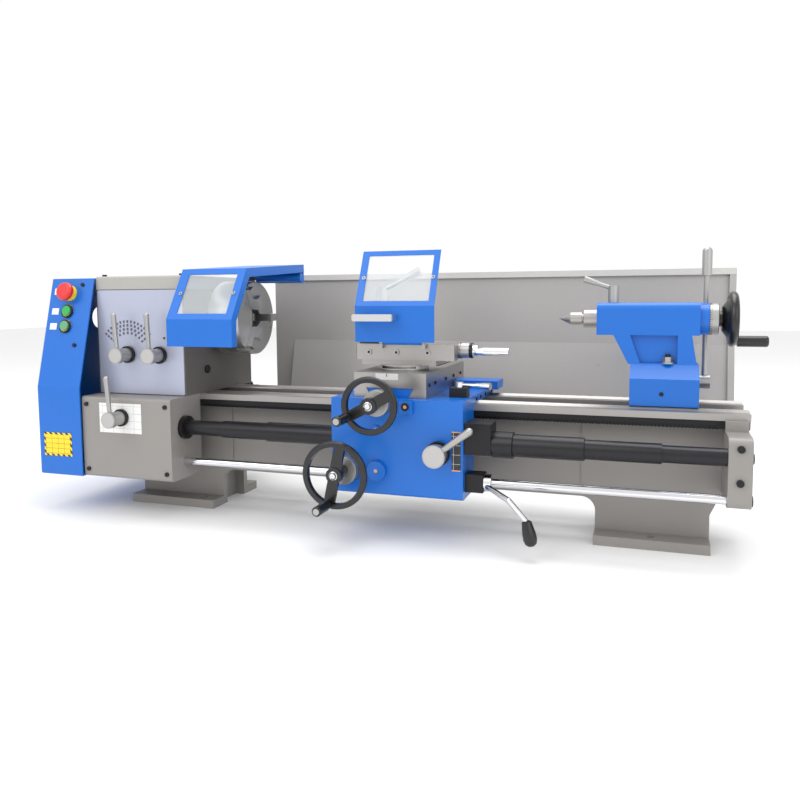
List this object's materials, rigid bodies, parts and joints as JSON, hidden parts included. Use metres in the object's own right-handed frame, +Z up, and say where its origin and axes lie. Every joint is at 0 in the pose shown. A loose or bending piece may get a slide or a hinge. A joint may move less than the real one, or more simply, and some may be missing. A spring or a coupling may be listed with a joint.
{
  "type": "metal lathe",
  "caption": "Bench metal-turning lathe with a guarded three-jaw chuck, feed gearbox, carriage with compound slide, tailstock and rear splash guard.",
  "frame": {"origin": "centre of the four foot bolt holes, on the bench plane under the feet", "axes": "+X along the bed towards the tailstock, -Y towards the operator, +Z up"},
  "size_m": [1.448, 0.56, 0.543],
  "materials": {
    "blue": "semi-gloss enamel",
    "taupe": "satin enamel",
    "lid_grey": "satin enamel",
    "panel_grey": "satin",
    "charcoal": "satin enamel",
    "bed_iron": "ground on the rails, painted webs",
    "ground": "ground",
    "steel": "turned",
    "chrome": "polished",
    "cast": "rough",
    "black": "gloss",
    "black_matte": "matte",
    "red": "gloss",
    "green": "gloss",
    "grey_green": "gloss",
    "yellow": "matte",
    "clear": "clear polycarbonate",
    "rubber": "matte",
    "splash": "satin enamel",
    "alu": "satin",
    "brass": "turned"
  },
  "bodies": {
    "frame": {"bed": "bed_iron", "headstock_casting": "taupe", "headstock_lid": "lid_grey", "front_panel": "panel_grey", "feed_gearbox": "taupe", "end_cover": "blue", "button_bezels": "yellow", "spindle_bearings": "steel", "drive_belt": "rubber", "motor": "charcoal", "splash_guard": "splash", "end_bracket": "taupe", "lead_covers_fixed": "black_matte", "machine_screws": "black_matte"},
    "spindle_unit": {"spindle": "ground", "chuck_body": "steel", "spindle_pulley": "alu"},
    "jaw_1": {"jaw_1": "steel"},
    "jaw_2": {"jaw_2": "steel"},
    "jaw_3": {"jaw_3": "steel"},
    "motor_rotor": {"motor_pulley": "alu"},
    "leadscrew": {"leadscrew": "steel"},
    "control_rod": {"control_rod": "chrome"},
    "chuck_guard": {"chuck_guard": "blue", "chuck_guard_window": "clear"},
    "speed_lever_left": {"speed_lever_left": "alu"},
    "speed_lever_right": {"speed_lever_right": "alu"},
    "feed_lever": {"feed_lever": "alu"},
    "estop": {"estop_button": "red"},
    "start": {"start_button": "green"},
    "stop": {"stop_button": "grey_green"},
    "carriage": {"saddle": "blue", "apron": "blue", "apron_fittings": "brass", "lead_covers_carriage": "black_matte"},
    "left_cover": {"lead_cover_left_mid": "black_matte"},
    "right_cover": {"lead_cover_right_mid": "black_matte"},
    "carriage_wheel": {"carriage_wheel": "black"},
    "carriage_wheel_handle": {"carriage_wheel_handle": "black"},
    "cross_wheel": {"cross_wheel": "black"},
    "cross_wheel_handle": {"cross_wheel_handle": "black"},
    "cross_slide": {"cross_slide": "ground"},
    "swivel": {"swivel_base": "ground"},
    "top_slide": {"top_slide": "ground"},
    "top_slide_crank": {"top_slide_crank": "chrome"},
    "tool_post": {"tool_post": "cast"},
    "tool_post_lever": {"tool_post_lever": "steel"},
    "tool_guard": {"tool_guard": "blue", "tool_guard_window": "clear"},
    "half_nut_lever": {"half_nut_lever": "alu"},
    "carriage_lock_lever": {"carriage_lock_lever": "chrome"},
    "control_lever": {"control_lever": "chrome"},
    "tailstock": {"tailstock_base": "blue", "tailstock_body": "blue"},
    "quill": {"quill": "ground", "dead_centre": "ground"},
    "tail_wheel": {"tail_wheel": "black"},
    "tail_wheel_handle": {"tail_wheel_handle": "black"},
    "quill_lock_lever": {"quill_lock_lever": "steel"},
    "tail_clamp_lever": {"tail_clamp_lever": "steel"}
  },
  "joints": [
    {"name": "spindle_spin", "type": "hinge", "parent": "frame", "child": "spindle_unit", "pos_m": [-0.45, 0, 0.41], "axis": [1, 0, 0], "continuous": true},
    {"name": "jaw_1_slide", "type": "slide", "parent": "spindle_unit", "child": "jaw_1", "axis": [0, 1, 0], "range_m": [-0.012, 0.02]},
    {"name": "jaw_2_slide", "type": "slide", "parent": "spindle_unit", "child": "jaw_2", "axis": [0, -0.5, 0.866], "range_m": [-0.012, 0.02]},
    {"name": "jaw_3_slide", "type": "slide", "parent": "spindle_unit", "child": "jaw_3", "axis": [0, -0.5, -0.866], "range_m": [-0.012, 0.02]},
    {"name": "motor_spin", "type": "hinge", "parent": "frame", "child": "motor_rotor", "pos_m": [-0.7, 0.19, 0.17], "axis": [1, 0, 0], "continuous": true},
    {"name": "leadscrew_spin", "type": "hinge", "parent": "frame", "child": "leadscrew", "pos_m": [0, -0.15, 0.187], "axis": [1, 0, 0], "continuous": true},
    {"name": "control_rod_turn", "type": "hinge", "parent": "frame", "child": "control_rod", "pos_m": [0, -0.15, 0.116], "axis": [1, 0, 0], "range_deg": [-15, 15]},
    {"name": "chuck_guard_hinge", "type": "hinge", "parent": "frame", "child": "chuck_guard", "pos_m": [-0.4, 0.108, 0.5], "axis": [1, 0, 0], "range_deg": [-80, 0]},
    {"name": "speed_lever_left_turn", "type": "hinge", "parent": "frame", "child": "speed_lever_left", "pos_m": [-0.597, -0.16, 0.3355], "axis": [0, 1, 0], "range_deg": [-30, 20]},
    {"name": "speed_lever_right_turn", "type": "hinge", "parent": "frame", "child": "speed_lever_right", "pos_m": [-0.518, -0.16, 0.3355], "axis": [0, 1, 0], "range_deg": [-20, 30]},
    {"name": "feed_lever_turn", "type": "hinge", "parent": "frame", "child": "feed_lever", "pos_m": [-0.576, -0.2, 0.209], "axis": [0, 1, 0], "range_deg": [-30, 30]},
    {"name": "estop_press", "type": "slide", "parent": "frame", "child": "estop", "axis": [0, 0.9689, -0.2474], "range_m": [0, 0.004], "stiffness_N_per_m": 600, "springref_m": -0.002},
    {"name": "start_press", "type": "slide", "parent": "frame", "child": "start", "axis": [0, 0.9689, -0.2474], "range_m": [0, 0.003], "stiffness_N_per_m": 600, "springref_m": -0.002},
    {"name": "stop_press", "type": "slide", "parent": "frame", "child": "stop", "axis": [0, 0.9689, -0.2474], "range_m": [0, 0.003], "stiffness_N_per_m": 600, "springref_m": -0.002},
    {"name": "carriage_slide", "type": "slide", "parent": "frame", "child": "carriage", "axis": [1, 0, 0], "range_m": [-0.12, 0.09]},
    {"name": "carriage_wheel_spin", "type": "hinge", "parent": "carriage", "child": "carriage_wheel", "pos_m": [-0.078, -0.245, 0.133], "axis": [0, 1, 0], "range_deg": [-1810, 1360]},
    {"name": "carriage_wheel_handle_spin", "type": "hinge", "parent": "carriage_wheel", "child": "carriage_wheel_handle", "pos_m": [-0.08933, -0.27, 0.07969], "axis": [0, 1, 0], "continuous": true},
    {"name": "left_cover_slide", "type": "slide", "parent": "frame", "child": "left_cover", "axis": [1, 0, 0], "range_m": [-0.061, 0.046]},
    {"name": "right_cover_slide", "type": "slide", "parent": "frame", "child": "right_cover", "axis": [1, 0, 0], "range_m": [-0.061, 0.046]},
    {"name": "cross_wheel_spin", "type": "hinge", "parent": "carriage", "child": "cross_wheel", "pos_m": [-0.012, -0.24, 0.261], "axis": [0, 1, 0], "range_deg": [-1310, 5780]},
    {"name": "cross_wheel_handle_spin", "type": "hinge", "parent": "cross_wheel", "child": "cross_wheel_handle", "pos_m": [-0.05129, -0.27, 0.24011], "axis": [0, 1, 0], "continuous": true},
    {"name": "cross_slide_travel", "type": "slide", "parent": "carriage", "child": "cross_slide", "axis": [0, 1, 0], "range_m": [-0.018, 0.08]},
    {"name": "compound_swivel", "type": "hinge", "parent": "cross_slide", "child": "swivel", "pos_m": [-0.001, -0.07, 0.318], "axis": [0, 0, 1], "range_deg": [-30, 30]},
    {"name": "top_slide_travel", "type": "slide", "parent": "swivel", "child": "top_slide", "axis": [1, 0, 0], "range_m": [-0.035, 0.035]},
    {"name": "top_slide_crank_spin", "type": "hinge", "parent": "top_slide", "child": "top_slide_crank", "pos_m": [0.13, -0.075, 0.351], "axis": [1, 0, 0], "range_deg": [-3170, 3170]},
    {"name": "tool_post_turn", "type": "hinge", "parent": "top_slide", "child": "tool_post", "pos_m": [-0.046, -0.07, 0.4], "axis": [0, 0, 1], "range_deg": [0, 90]},
    {"name": "tool_post_lever_turn", "type": "hinge", "parent": "tool_post", "child": "tool_post_lever", "pos_m": [-0.046, -0.07, 0.45], "axis": [0, 0, 1], "range_deg": [0, 60]},
    {"name": "tool_guard_tilt", "type": "hinge", "parent": "top_slide", "child": "tool_guard", "pos_m": [0, -0.124, 0.368], "axis": [1, 0, 0], "range_deg": [0, 45]},
    {"name": "half_nut_lever_turn", "type": "hinge", "parent": "carriage", "child": "half_nut_lever", "pos_m": [0.099, -0.2, 0.171], "axis": [0, 1, 0], "range_deg": [0, 35]},
    {"name": "carriage_lock_turn", "type": "hinge", "parent": "carriage", "child": "carriage_lock_lever", "pos_m": [0.121, -0.112, 0.29], "axis": [0, 0, 1], "range_deg": [-20, 60]},
    {"name": "control_lever_turn", "type": "hinge", "parent": "carriage", "child": "control_lever", "pos_m": [0.19, -0.15, 0.116], "axis": [1, 0, 0], "range_deg": [-15, 15]},
    {"name": "tailstock_slide", "type": "slide", "parent": "frame", "child": "tailstock", "axis": [1, 0, 0], "range_m": [-0.02, 0.06]},
    {"name": "quill_travel", "type": "slide", "parent": "tailstock", "child": "quill", "axis": [-1, 0, 0], "range_m": [-0.02, 0.06]},
    {"name": "tail_wheel_spin", "type": "hinge", "parent": "tailstock", "child": "tail_wheel", "pos_m": [0.58, 0, 0.41], "axis": [-1, 0, 0], "range_deg": [-1820, 5420]},
    {"name": "tail_wheel_handle_spin", "type": "hinge", "parent": "tail_wheel", "child": "tail_wheel_handle", "pos_m": [0.63, 0, 0.37], "axis": [1, 0, 0], "continuous": true},
    {"name": "quill_lock_turn", "type": "hinge", "parent": "tailstock", "child": "quill_lock_lever", "pos_m": [0.391, 0, 0.46], "axis": [0, 0, 1], "range_deg": [-45, 45]},
    {"name": "tail_clamp_turn", "type": "hinge", "parent": "tailstock", "child": "tail_clamp_lever", "pos_m": [0.55, 0.05, 0.29], "axis": [1, 0, 0], "range_deg": [-30, 0]}
  ],
  "couplings": [
    {"joint": "jaw_2_slide", "follows": "jaw_1_slide", "ratio": 1},
    {"joint": "jaw_3_slide", "follows": "jaw_1_slide", "ratio": 1},
    {"joint": "motor_spin", "follows": "spindle_spin", "ratio": 1.8333},
    {"joint": "leadscrew_spin", "follows": "spindle_spin", "ratio": 0.25},
    {"joint": "carriage_wheel_spin", "follows": "carriage_slide", "rad_per_m": 261.8},
    {"joint": "left_cover_slide", "follows": "carriage_slide", "ratio": 0.5},
    {"joint": "right_cover_slide", "follows": "carriage_slide", "ratio": 0.5},
    {"joint": "cross_wheel_spin", "follows": "cross_slide_travel", "rad_per_m": 1256.6},
    {"joint": "top_slide_crank_spin", "follows": "top_slide_travel", "rad_per_m": 1570.8},
    {"joint": "tail_wheel_spin", "follows": "quill_travel", "rad_per_m": 1570.8},
    {"joint": "control_rod_turn", "follows": "control_lever_turn", "ratio": 1}
  ]
}
